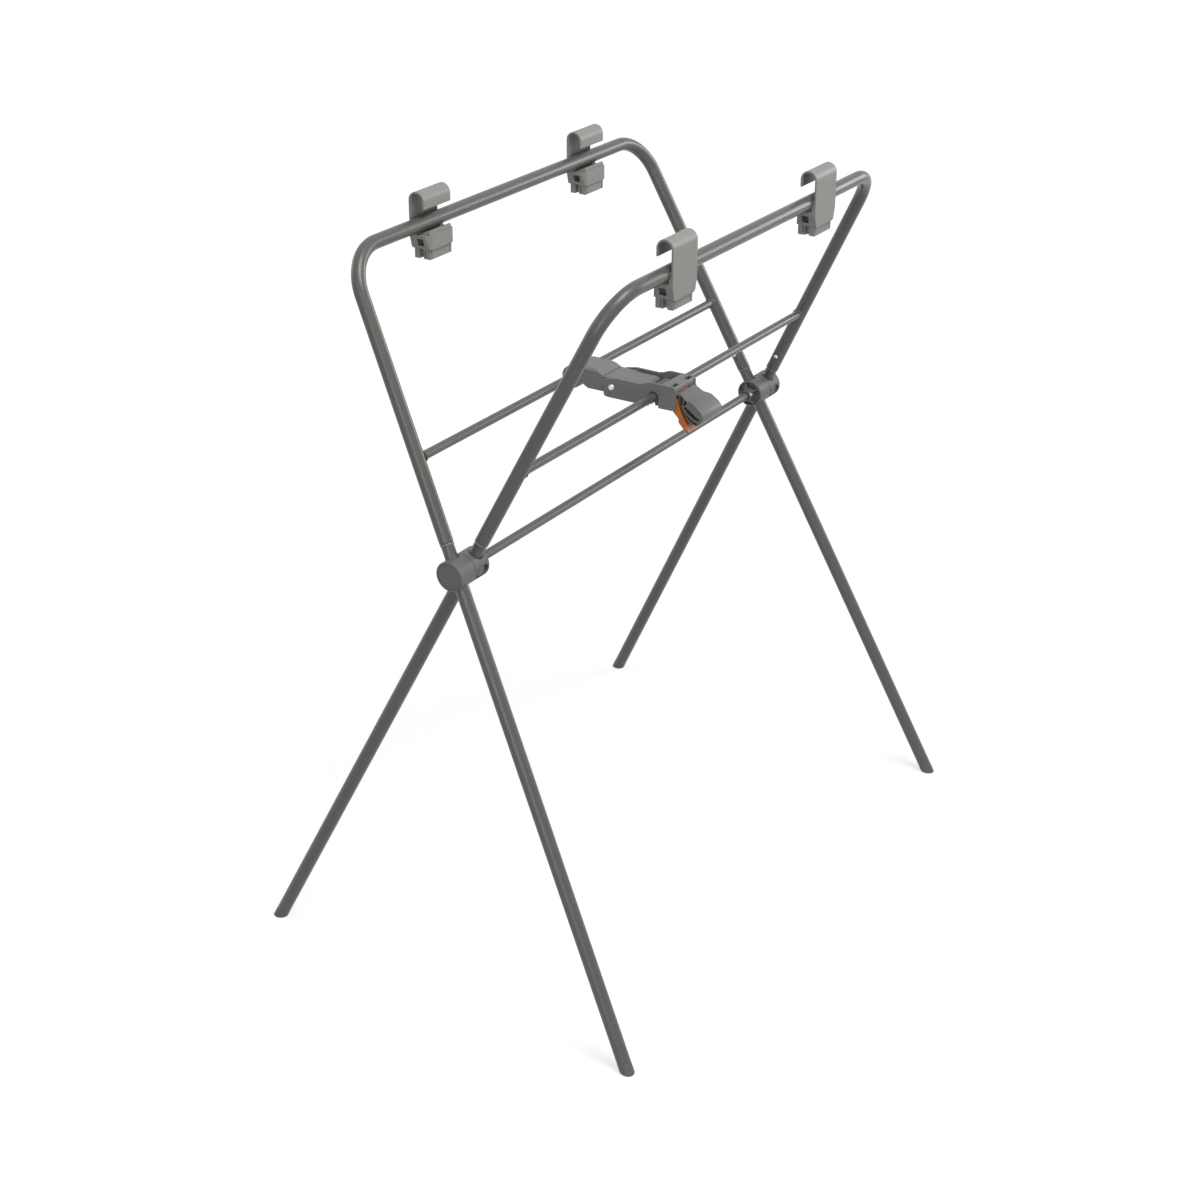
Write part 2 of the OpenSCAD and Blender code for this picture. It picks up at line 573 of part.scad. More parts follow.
module release_lever() color(orange_c) at_brace() difference() {
  union() {
    slab(2 * b_in - 2) intersection() {
      lever_outline();
      translate([0, -15]) square([200, 18]);
    }
    slab(notch_w - 1.4) intersection() {
      lever_outline();
      translate([0, 2]) square([200, 18]);
    }
    slab(2 * b_out - 5) intersection() {
      lever_outline();
      translate([0, -60]) square([200, 45]);
    }
  }
  translate([0, -lever_u, 0]) along_x(-b_out) rod(2 + fit, 2 * b_out);
}
module lever_pin() color(steel_c) at_brace() translate([0, -lever_u, 0])
  along_x(-b_in - 1.8) rod(2, 2 * b_in + 3.6);

// ---------- pieces ----------
frame_a() upper_frame();  // upper_frame_a
frame_a() crossbar();  // crossbar_a
frame_a() outer_side() leg(leg_out);  // leg_outer_a
frame_a() leg(leg_in);  // leg_inner_a
color(dark_c) above_floor() frame_a() outer_side() foot(leg_out);  // foot_outer_a
color(dark_c) above_floor() frame_a() foot(leg_in);  // foot_inner_a
frame_a() outer_side() hub_outer();  // hub_outer_a
frame_a() hub_inner(true);  // hub_inner_a
frame_a() outer_side() hub_cap();  // hub_cap_a
frame_a() { outer_side() plug(leg_out); plug(leg_in); }  // hub_plugs_a
frame_a() outer_side() pivot_bolt();  // pivot_bolt_a
at_rail_a(-1) hook();  // hook_near_a
at_rail_a(1) hook();  // hook_far_a
at_rail_a(-1) clamp();  // clamp_near_a
at_rail_a(1) clamp();  // clamp_far_a
frame_a() outer_side() snap(leg_out);  // snap_outer_a
frame_a() snap(leg_in);  // snap_inner_a
translate([0, 0, hub_h]) hub_bar_body();  // hub_bar
frame_a() screw_body();  // bar_screw
frame_b() upper_frame();  // upper_frame_b
frame_b() crossbar();  // crossbar_b
frame_b() outer_side() leg(leg_out);  // leg_outer_b
frame_b() leg(leg_in);  // leg_inner_b
color(dark_c) above_floor() frame_b() outer_side() foot(leg_out);  // foot_outer_b
color(dark_c) above_floor() frame_b() foot(leg_in);  // foot_inner_b
frame_b() outer_side() hub_outer();  // hub_outer_b
frame_b() hub_inner(false);  // hub_inner_b
frame_b() outer_side() hub_cap();  // hub_cap_b
frame_b() { outer_side() plug(leg_out); plug(leg_in); }  // hub_plugs_b
frame_b() outer_side() pivot_bolt();  // pivot_bolt_b
at_rail_b(1) hook();  // hook_near_b
at_rail_b(-1) hook();  // hook_far_b
at_rail_b(1) clamp();  // clamp_near_b
at_rail_b(-1) clamp();  // clamp_far_b
frame_b() outer_side() snap(leg_out);  // snap_outer_b
frame_b() snap(leg_in);  // snap_inner_b
rear_arm();
brace_pin();
front_arm();
pin_heads();
bar_bearings();
grip();
release_lever();
lever_pin();
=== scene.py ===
"""Looks of a folding bath stand: powder-coated tube frames, moulded hubs, hooks and a hinged brace.

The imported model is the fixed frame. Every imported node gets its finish, and each sub-assembly is a class
that makes pieces of its own: swept tubes with their stop beads and buttons, weld beads and cap rims,
rounded feet, and the hand grip. Lengths are in metres where nothing else is said, in the model's own
frame: +X along the hub axis, +Z up.
"""

import json
import logging
import math
from dataclasses import dataclass
from enum import Enum

import bpy
from mathutils import Matrix, Vector

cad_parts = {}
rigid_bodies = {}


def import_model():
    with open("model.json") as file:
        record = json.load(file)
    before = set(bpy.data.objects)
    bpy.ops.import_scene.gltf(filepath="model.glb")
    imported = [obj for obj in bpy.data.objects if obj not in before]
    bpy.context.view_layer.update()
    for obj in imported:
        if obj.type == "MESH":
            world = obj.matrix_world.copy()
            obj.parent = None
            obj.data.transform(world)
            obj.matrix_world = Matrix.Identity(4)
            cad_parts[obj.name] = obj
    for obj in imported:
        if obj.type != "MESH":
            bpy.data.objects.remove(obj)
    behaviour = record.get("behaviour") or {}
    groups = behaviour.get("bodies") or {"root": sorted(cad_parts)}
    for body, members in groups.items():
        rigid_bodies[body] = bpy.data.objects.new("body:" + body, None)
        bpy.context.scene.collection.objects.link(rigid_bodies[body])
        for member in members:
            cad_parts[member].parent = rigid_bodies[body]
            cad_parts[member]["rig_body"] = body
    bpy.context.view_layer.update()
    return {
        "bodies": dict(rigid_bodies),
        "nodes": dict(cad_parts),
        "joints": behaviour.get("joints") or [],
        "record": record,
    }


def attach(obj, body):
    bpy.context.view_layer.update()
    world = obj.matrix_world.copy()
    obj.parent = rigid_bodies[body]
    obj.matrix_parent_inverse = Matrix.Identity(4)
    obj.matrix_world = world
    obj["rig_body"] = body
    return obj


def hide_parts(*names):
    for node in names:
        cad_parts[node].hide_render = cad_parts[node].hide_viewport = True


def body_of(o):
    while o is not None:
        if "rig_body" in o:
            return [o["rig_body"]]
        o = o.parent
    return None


log = logging.getLogger("bath_stand")

Colour = tuple[float, float, float]
Point = tuple[float, float, float]
Pair = tuple[float, float]
Profile = tuple[Pair, ...]
Ring = tuple[float, float, float, float]


class Surface(Enum):
    """How the surface of a finish was made."""

    POWDER = "powder coat"
    MOULDED = "moulded plastic"
    PLATED = "plated steel"


class Half(Enum):
    """One of the two frames that cross at the hubs."""

    A = "a"
    B = "b"

    @property
    def turn(self) -> float:
        """1 for frame a; -1 for frame b, which is frame a turned half round."""
        return 1.0 if self is Half.A else -1.0


class Side(Enum):
    """Leg of a frame: the one in the outer barrel of its hub, or the one in the inner barrel."""

    OUTER = "outer"
    INNER = "inner"

    @property
    def sign(self) -> float:
        """1 for the outer leg, -1 for the inner one."""
        return 1.0 if self is Side.OUTER else -1.0


class Merge(Enum):
    """What happens to a piece where another solid meets it."""

    CUT = "DIFFERENCE"
    JOIN = "UNION"


@dataclass(frozen=True)
class Finish:
    """One finish of the stand.

    Attributes:
        name: Name of the material.
        slot: Material slot of the record that it belongs to.
        surface: How the surface was made.
        colour: Base colour, linear.
        roughness: Mean roughness.
        grain: Height of the surface grain, in metres.
        grain_scale: Grains per metre.
        edge_wear_and_highlight: How much lighter an edge is, as a factor: rubbed wear and a painted
            highlight along every edge.
        edge_radius: Radius of the softened edges, in metres.
        shine: Specular level.
    """

    name: str
    slot: str
    surface: Surface
    colour: Colour
    roughness: float
    grain: float = 0.00003
    grain_scale: float = 1800.0
    edge_wear_and_highlight: float = 1.35
    edge_radius: float = 0.0006
    shine: float = 0.5

    @property
    def metallic(self) -> float:
        """1 for bare metal, else 0."""
        return 1.0 if self.surface is Surface.PLATED else 0.0

    def tone(self, factor: float) -> tuple[float, float, float, float]:
        """Gives the colour, darker or paler.

        Args:
            factor: How much paler, as a factor.

        Returns:
            The colour with its alpha, none of it over 1.
        """
        return (*[min(1.0, part * factor) for part in self.colour], 1.0)


TUBE = Finish(
    "tube_powder_coat", "tube_paint", Surface.POWDER, (0.104, 0.1, 0.093),
    roughness=0.31, grain=0.00001, edge_wear_and_highlight=1.25, edge_radius=0.0004)
BAR = Finish(
    "bar_powder_coat", "bar_paint", Surface.POWDER, (0.12, 0.116, 0.109),
    roughness=0.4, grain=0.00001, edge_wear_and_highlight=1.25, edge_radius=0.0004)
FOOT = Finish(
    "foot_moulding", "foot_plastic", Surface.MOULDED, (0.118, 0.117, 0.111), roughness=0.6)
HUB = Finish(
    "hub_moulding", "hub_plastic", Surface.MOULDED, (0.135, 0.138, 0.131), roughness=0.5)
BRACE = Finish(
    "brace_moulding", "brace_plastic", Surface.MOULDED, (0.2, 0.206, 0.198), roughness=0.52)
GRIP = Finish(
    "grip_moulding", "grip_plastic", Surface.MOULDED, (0.16, 0.165, 0.159), roughness=0.5)
HOOK = Finish(
    "hook_moulding", "hook_plastic", Surface.MOULDED, (0.27, 0.28, 0.262), roughness=0.46)
BEARING = Finish(
    "bearing_moulding", "bearing_plastic", Surface.MOULDED, (0.03, 0.03, 0.03), roughness=0.4)
LEVER = Finish(
    "lever_moulding", "lever_plastic", Surface.MOULDED, (0.56, 0.165, 0.04),
    roughness=0.36, grain=0.00001, edge_wear_and_highlight=1.2)
ZINC = Finish(
    "zinc_plate", "zinc_steel", Surface.PLATED, (0.62, 0.62, 0.6),
    roughness=0.3, grain=0.00001, grain_scale=3000.0, edge_wear_and_highlight=1.1, edge_radius=0.0003)
BUTTON = Finish(
    "button_steel", "button_steel", Surface.PLATED, (0.74, 0.74, 0.72),
    roughness=0.2, grain=0.000005, grain_scale=3000.0, edge_wear_and_highlight=1.1, edge_radius=0.0003)

# painted highlight: the stop bead is painted paler than the tube, standing for the bright band light draws
# on it
BEAD_HIGHLIGHT = Finish(
    "bead_painted_highlight", "tube_paint", Surface.POWDER, (0.2, 0.195, 0.185),
    roughness=0.28, grain=0.00001, edge_wear_and_highlight=1.3)
# painted highlight: the cap rim is painted paler than the hub, standing for the bright line light draws on
# it
RIM_HIGHLIGHT = Finish(
    "rim_painted_highlight", "hub_plastic", Surface.MOULDED, (0.3, 0.305, 0.295),
    roughness=0.26, grain=0.00001)
# painted shade: near-black floors in the grip's slots and windows, where shade falls
SLOT_SHADE = Finish(
    "slot_painted_shade", "grip_plastic", Surface.MOULDED, (0.003, 0.003, 0.003),
    roughness=0.9, grain=0.00001, edge_wear_and_highlight=1.0, edge_radius=0.0003, shine=0.1)

FINISHES: tuple[Finish, ...] = (
    TUBE, BAR, FOOT, HUB, BRACE, GRIP, HOOK, BEARING, LEVER, ZINC, BUTTON)
# finishes that paint light and shade: the highlights of stop beads and cap rims, and the shade in the
# grip's openings
PAINTED_LIGHT_ACCENTS: tuple[Finish, ...] = (BEAD_HIGHLIGHT, RIM_HIGHLIGHT, SLOT_SHADE)


class Effects:
    """Node groups that the materials share, and the steps that build them."""

    @staticmethod
    def _group(name: str, inputs: dict[str, float], outputs: tuple[str, ...]) -> bpy.types.NodeTree:
        """Makes an empty shader group with float inputs.

        Args:
            name: Name of the group.
            inputs: Input names and their default values.
            outputs: Output names.

        Returns:
            The group, with its input and output nodes placed.
        """
        tree = bpy.data.node_groups.new(name, "ShaderNodeTree")
        for key, value in inputs.items():
            sock = tree.interface.new_socket(
                name=key, in_out="INPUT", socket_type="NodeSocketFloat")
            sock.default_value = value
        for key in outputs:
            tree.interface.new_socket(name=key, in_out="OUTPUT", socket_type="NodeSocketFloat")
        tree.nodes.new("NodeGroupInput").name = "in"
        tree.nodes.new("NodeGroupOutput").name = "out"
        return tree

    @staticmethod
    def noise(
        tree: bpy.types.NodeTree, scale: bpy.types.NodeSocket, detail: float, roughness: float,
    ) -> bpy.types.NodeSocket:
        """Adds a noise that stays with its object.

        Args:
            tree: Tree that gets the nodes.
            scale: Socket that gives the noise's scale.
            detail: Octaves of the noise.
            roughness: Weight of each finer octave.

        Returns:
            The noise's value.
        """
        coord = tree.nodes.new("ShaderNodeTexCoord")
        node = tree.nodes.new("ShaderNodeTexNoise")
        node.inputs["Detail"].default_value = detail
        node.inputs["Roughness"].default_value = roughness
        tree.links.new(coord.outputs["Object"], node.inputs["Vector"])
        tree.links.new(scale, node.inputs["Scale"])
        return node.outputs["Fac"]

    @staticmethod
    def spread(
        tree: bpy.types.NodeTree, value: bpy.types.NodeSocket, source: Pair,
        target: Pair = (0.0, 1.0),
    ) -> bpy.types.NodeSocket:
        """Maps a value from one range to another.

        Args:
            tree: Tree that gets the node.
            value: Socket that gives the value.
            source: Range that it comes from.
            target: Range that it goes to.

        Returns:
            The mapped value.
        """
        node = tree.nodes.new("ShaderNodeMapRange")
        keys = ("From Min", "From Max", "To Min", "To Max")
        for key, number in zip(keys, (*source, *target)):
            node.inputs[key].default_value = number
        tree.links.new(value, node.inputs["Value"])
        return node.outputs[0]

    @staticmethod
    def combine(
        tree: bpy.types.NodeTree, kind: str, first: bpy.types.NodeSocket,
        second: bpy.types.NodeSocket,
    ) -> bpy.types.NodeSocket:
        """Joins two values in a Math node.

        Args:
            tree: Tree that gets the node.
            kind: The node's operation.
            first: First value.
            second: Second value.

        Returns:
            The result.
        """
        node = tree.nodes.new("ShaderNodeMath")
        node.operation = kind
        tree.links.new(first, node.inputs[0])
        tree.links.new(second, node.inputs[1])
        return node.outputs[0]

    @staticmethod
    def grain() -> bpy.types.NodeTree:
        """Fine grain: a height, and a slow drift of tone from one patch to the next."""
        inputs = {"Scale": 1500.0, "Drift scale": 14.0}
        tree = Effects._group("surface_grain", inputs, ("Height", "Drift"))
        nin, nout = tree.nodes["in"], tree.nodes["out"]
        fine = Effects.noise(tree, nin.outputs["Scale"], detail=3.0, roughness=0.6)
        slow = Effects.noise(tree, nin.outputs["Drift scale"], detail=4.0, roughness=0.55)
        tree.links.new(fine, nout.inputs["Height"])
        tree.links.new(slow, nout.inputs["Drift"])
        return tree

    @staticmethod
    def worn_and_highlit_edges() -> bpy.types.NodeTree:
        """Mask of the edges, broken up by noise: edges rubbed by hands and straps, and a painted highlight
        along every edge.
        """
        inputs = {"Radius": 0.0008, "Break-up": 90.0}
        tree = Effects._group("worn_and_highlit_edges", inputs, ("Mask",))
        nin, nout = tree.nodes["in"], tree.nodes["out"]
        soft = tree.nodes.new("ShaderNodeBevel")
        soft.samples = 4
        tree.links.new(nin.outputs["Radius"], soft.inputs["Radius"])
        geo = tree.nodes.new("ShaderNodeNewGeometry")
        dot = tree.nodes.new("ShaderNodeVectorMath")
        dot.operation = "DOT_PRODUCT"
        tree.links.new(soft.outputs["Normal"], dot.inputs[0])
        tree.links.new(geo.outputs["Normal"], dot.inputs[1])
        # the further the softened normal leans away, the more of an edge it is
        edge = Effects.spread(tree, dot.outputs["Value"], (0.99, 0.8))
        noise = Effects.noise(tree, nin.outputs["Break-up"], detail=3.0, roughness=0.5)
        patch = Effects.spread(tree, noise, (0.35, 0.65))
        tree.links.new(Effects.combine(tree, "MULTIPLY", edge, patch), nout.inputs["Mask"])
        return tree


@dataclass(frozen=True)
class Drift:
    """How far tone and gloss wander on every finish, and how its edges are read."""

    dark: float = 0.93
    pale: float = 1.07
    gloss: float = 0.06
    least_rough: float = 0.02
    bump: float = 0.6
    edge_reach: float = 1.6
    edge_samples: int = 6


class Paintbox:
    """Makes each finish's material once and hands it out."""

    def __init__(self, drift: Drift = Drift()) -> None:
        """Builds the shared groups and every material.

        Args:
            drift: How far tone and gloss wander.
        """
        self.drift = drift
        self.grain = Effects.grain()
        self.edges = Effects.worn_and_highlit_edges()
        self.by_slot: dict[str, bpy.types.Material] = {f.slot: self._make(f) for f in FINISHES}
        self.by_name: dict[str, bpy.types.Material] = {f.name: self._make(f) for f in PAINTED_LIGHT_ACCENTS}

    def _make(self, f: Finish) -> bpy.types.Material:
        """Builds one material.

        Args:
            f: The finish.

        Returns:
            The material.
        """
        mat = bpy.data.materials.new(f.name)
        mat.use_nodes = True
        mat.diffuse_color = f.tone(1.0)
        tree = mat.node_tree
        bsdf = tree.nodes["Principled BSDF"]
        bsdf.inputs["Metallic"].default_value = f.metallic
        bsdf.inputs["Specular IOR Level"].default_value = f.shine
        grain = tree.nodes.new("ShaderNodeGroup")
        grain.node_tree = self.grain
        grain.inputs["Scale"].default_value = f.grain_scale
        edges = tree.nodes.new("ShaderNodeGroup")
        edges.node_tree = self.edges
        edges.inputs["Radius"].default_value = f.edge_radius * self.drift.edge_reach
        # tone: a slow drift, then the lighter edges on top: rubbed wear and a painted edge highlight
        base = tree.nodes.new("ShaderNodeMix")
        base.data_type = "RGBA"
        base.inputs["A"].default_value = f.tone(self.drift.dark)
        base.inputs["B"].default_value = f.tone(self.drift.pale)
        tree.links.new(grain.outputs["Drift"], base.inputs["Factor"])
        worn_and_highlit = tree.nodes.new("ShaderNodeMix")
        worn_and_highlit.data_type = "RGBA"
        worn_and_highlit.inputs["B"].default_value = f.tone(f.edge_wear_and_highlight)
        tree.links.new(edges.outputs["Mask"], worn_and_highlit.inputs["Factor"])
        tree.links.new(base.outputs["Result"], worn_and_highlit.inputs["A"])
        tree.links.new(worn_and_highlit.outputs["Result"], bsdf.inputs["Base Color"])
        # gloss follows the same drift
        gloss = self.drift.gloss
        limits = max(self.drift.least_rough, f.roughness - gloss), f.roughness + gloss
        rough = Effects.spread(tree, grain.outputs["Drift"], (0.0, 1.0), limits)
        tree.links.new(rough, bsdf.inputs["Roughness"])
        # relief: softened edges under the grain
        soft = tree.nodes.new("ShaderNodeBevel")
        soft.samples = self.drift.edge_samples
        soft.inputs["Radius"].default_value = f.edge_radius
        bump = tree.nodes.new("ShaderNodeBump")
        bump.inputs["Distance"].default_value = f.grain
        bump.inputs["Strength"].default_value = self.drift.bump
        tree.links.new(grain.outputs["Height"], bump.inputs["Height"])
        tree.links.new(soft.outputs["Normal"], bump.inputs["Normal"])
        tree.links.new(bump.outputs["Normal"], bsdf.inputs["Normal"])
        return mat

    def dress_frame(self, frame: dict) -> None:
        """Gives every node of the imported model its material.
        """
        slots = {s["node"]: s["material_slot"] for s in frame["record"]["subparts"]}
        for name, obj in frame["nodes"].items():
            obj.data.materials.clear()
            obj.data.materials.append(self.by_slot[slots[name]])

    def dress(self, obj: bpy.types.Object, slot: str, accent: Finish | None = None) -> None:
        """Gives a new piece the material of a slot, and an accent as its second material.

        Args:
            obj: The piece.
            slot: The record's material slot.
            accent: Finish that picked faces take; the accents paint highlights and shade.
        """
        obj.data.materials.clear()
        obj.data.materials.append(self.by_slot[slot])
        if accent:
            obj.data.materials.append(self.by_name[accent.name])


@dataclass(frozen=True)
class Plan:
    """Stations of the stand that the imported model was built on, in metres and radians."""

    hub_h: float = 0.616
    lean: float = math.radians(26.5)
    splay: float = math.radians(5.8)
    leg_out: float = 0.4008
    leg_in: float = 0.3724
    cross_s: float = 0.1517
    tube_r: float = 0.0095
    bar_r: float = 0.006
    hub_end: float = 0.4178
    brace_x: float = -0.010
    brace_end: float = 0.10219
    stub_r: float = 0.00865
    stub_from: float = 0.0355
    snap_up: float = 0.0245

    @property
    def cross_y(self) -> float:
        """Distance of each crossbar from the middle plane."""
        return self.cross_s * math.sin(self.lean)

    @property
    def cross_z(self) -> float:
        """Height of the crossbars."""
        return self.hub_h + self.cross_s * math.cos(self.lean)

    @property
    def tube_end(self) -> float:
        """Station of the upper tubes' ends along a leg."""
        return self.stub_from / math.cos(self.splay)

    def leg_x(self, side: Side) -> float:
        """Place of a leg's axis along the hubs' axis, in frame a."""
        return -self.leg_out if side is Side.OUTER else self.leg_in

    def leg_line(self, half: Half, side: Side) -> tuple[Vector, Vector]:
        """Finds the axis of a leg.

        Args:
            half: The leg's frame.
            side: Which leg of that frame.

        Returns:
            The point where the axis crosses the hubs' axis, and its direction upward.
        """
        drift = math.sin(self.splay) * side.sign
        up = math.cos(self.splay)
        axis = Vector(
            (half.turn * drift, half.turn * up * math.sin(self.lean), up * math.cos(self.lean)))
        return Vector((half.turn * self.leg_x(side), 0.0, self.hub_h)), axis


PLAN = Plan()


class Bench:
    """Shaping steps that several sub-assemblies share."""

    RING_STEPS = (72, 14)
    SAME_POINT = 1e-6
    FLAT = math.radians(0.5)

    @staticmethod
    def take(obj: bpy.types.Object) -> None:
        """Makes one object the only selected and active one.

        Args:
            obj: The object.
        """
        bpy.ops.object.select_all(action="DESELECT")
        obj.select_set(True)
        bpy.context.view_layer.objects.active = obj

    @staticmethod
    def solid(
        name: str, verts: list[Vector] | list[Point], faces: list[tuple[int, ...]],
    ) -> bpy.types.Object:
        """Makes a closed piece whose faces point outwards.

        Args:
            name: Name of the piece.
            verts: Its points.
            faces: Its faces, by their points.

        Returns:
            The piece, selected and active.
        """
        mesh = bpy.data.meshes.new(name)
        mesh.from_pydata(verts, [], faces)
        obj = bpy.data.objects.new(name, mesh)
        bpy.context.collection.objects.link(obj)
        Bench.take(obj)
        bpy.ops.object.mode_set(mode="EDIT")
        bpy.ops.mesh.select_all(action="SELECT")
        bpy.ops.mesh.normals_make_consistent(inside=False)
        bpy.ops.object.mode_set(mode="OBJECT")
        return obj

    @staticmethod
    def copy_node(node: bpy.types.Object, name: str) -> bpy.types.Object:
        """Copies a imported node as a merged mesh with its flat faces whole.

        Args:
            node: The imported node.
            name: Name of the copy.

        Returns:
            The copy.
        """
        obj = bpy.data.objects.new(name, node.data.copy())
        bpy.context.collection.objects.link(obj)
        Bench.take(obj)
        bpy.ops.object.mode_set(mode="EDIT")
        bpy.ops.mesh.select_all(action="SELECT")
        bpy.ops.mesh.remove_doubles(threshold=Bench.SAME_POINT)
        bpy.ops.mesh.dissolve_limited(angle_limit=Bench.FLAT)
        bpy.ops.object.mode_set(mode="OBJECT")
        return obj

    @staticmethod
    def round_edges(obj: bpy.types.Object, picks: list[int], width: float, segments: int) -> None:
        """Rounds chosen edges.

        Args:
            obj: The object.
            picks: Indices of the edges.
            width: Width of the rounding, in metres.
            segments: Steps across the rounding.
        """
        mesh = obj.data
        for part in (mesh.vertices, mesh.edges, mesh.polygons):
            part.foreach_set("select", [False] * len(part))
        for i in picks:
            mesh.edges[i].select = True
        Bench.take(obj)
        bpy.context.tool_settings.mesh_select_mode = (False, True, False)
        bpy.ops.object.mode_set(mode="EDIT")
        bpy.ops.mesh.bevel(
            offset=width, segments=segments, profile=0.5, clamp_overlap=True, affect="EDGES")
        bpy.ops.object.mode_set(mode="OBJECT")

    @staticmethod
    def ring(
        name: str, centre: Point, major: float, minor: float, uneven: float = 0.0,
    ) -> bpy.types.Object:
        """Makes a ring round an axis along X.

        Args:
            name: Name of the ring.
            centre: Its centre.
            major: Radius of the ring.
            minor: Radius of its section.
            uneven: How far its surface wanders, in metres.

        Returns:
            The ring, in place in its own mesh.
        """
        around, across = Bench.RING_STEPS
        bpy.ops.object.select_all(action="DESELECT")
        bpy.ops.mesh.primitive_torus_add(
            major_segments=around, minor_segments=across, major_radius=major, minor_radius=minor,
            location=centre, rotation=(0.0, math.pi / 2, 0.0))
        ring = bpy.context.active_object
        ring.name = name
        bpy.ops.object.transform_apply(location=True, rotation=True, scale=True)
        if uneven:
            waves = bpy.data.textures.new(name + "_ripple", "CLOUDS")
            waves.noise_scale = minor * 1.6
            shake = ring.modifiers.new("ripple", "DISPLACE")
            shake.texture = waves
            shake.texture_coords = "LOCAL"
            shake.strength = uneven * 2
            shake.mid_level = 0.5
            bpy.ops.object.modifier_apply(modifier=shake.name)
        Bench.smooth(ring)
        return ring

    @staticmethod
    def merge(obj: bpy.types.Object, tool: bpy.types.Object, kind: Merge) -> None:
        """Cuts a solid away from another, or joins it to it.

        Args:
            obj: The piece.
            tool: The other solid, which is used up.
            kind: Whether it is cut away or joined.
        """
        Bench.take(obj)
        step = obj.modifiers.new("merge", "BOOLEAN")
        step.operation = kind.value
        step.solver = "EXACT"
        step.object = tool
        bpy.ops.object.modifier_apply(modifier=step.name)
        bpy.data.objects.remove(tool, do_unlink=True)

    @staticmethod
    def smooth(obj: bpy.types.Object, degrees: float = 38.0) -> None:
        """Shades an object smooth up to an angle.

        Args:
            obj: The object.
            degrees: Edges sharper than this stay sharp.
        """
        Bench.take(obj)
        bpy.ops.object.shade_smooth_by_angle(angle=math.radians(degrees))

    @staticmethod
    def edge_faces(obj: bpy.types.Object) -> dict[tuple[int, int], list[bpy.types.MeshPolygon]]:
        """Finds the faces on both sides of each edge.

        Args:
            obj: The object.

        Returns:
            Faces by edge key.
        """
        sides: dict[tuple[int, int], list[bpy.types.MeshPolygon]] = {}
        for face in obj.data.polygons:
            for key in face.edge_keys:
                sides.setdefault(key, []).append(face)
        return sides


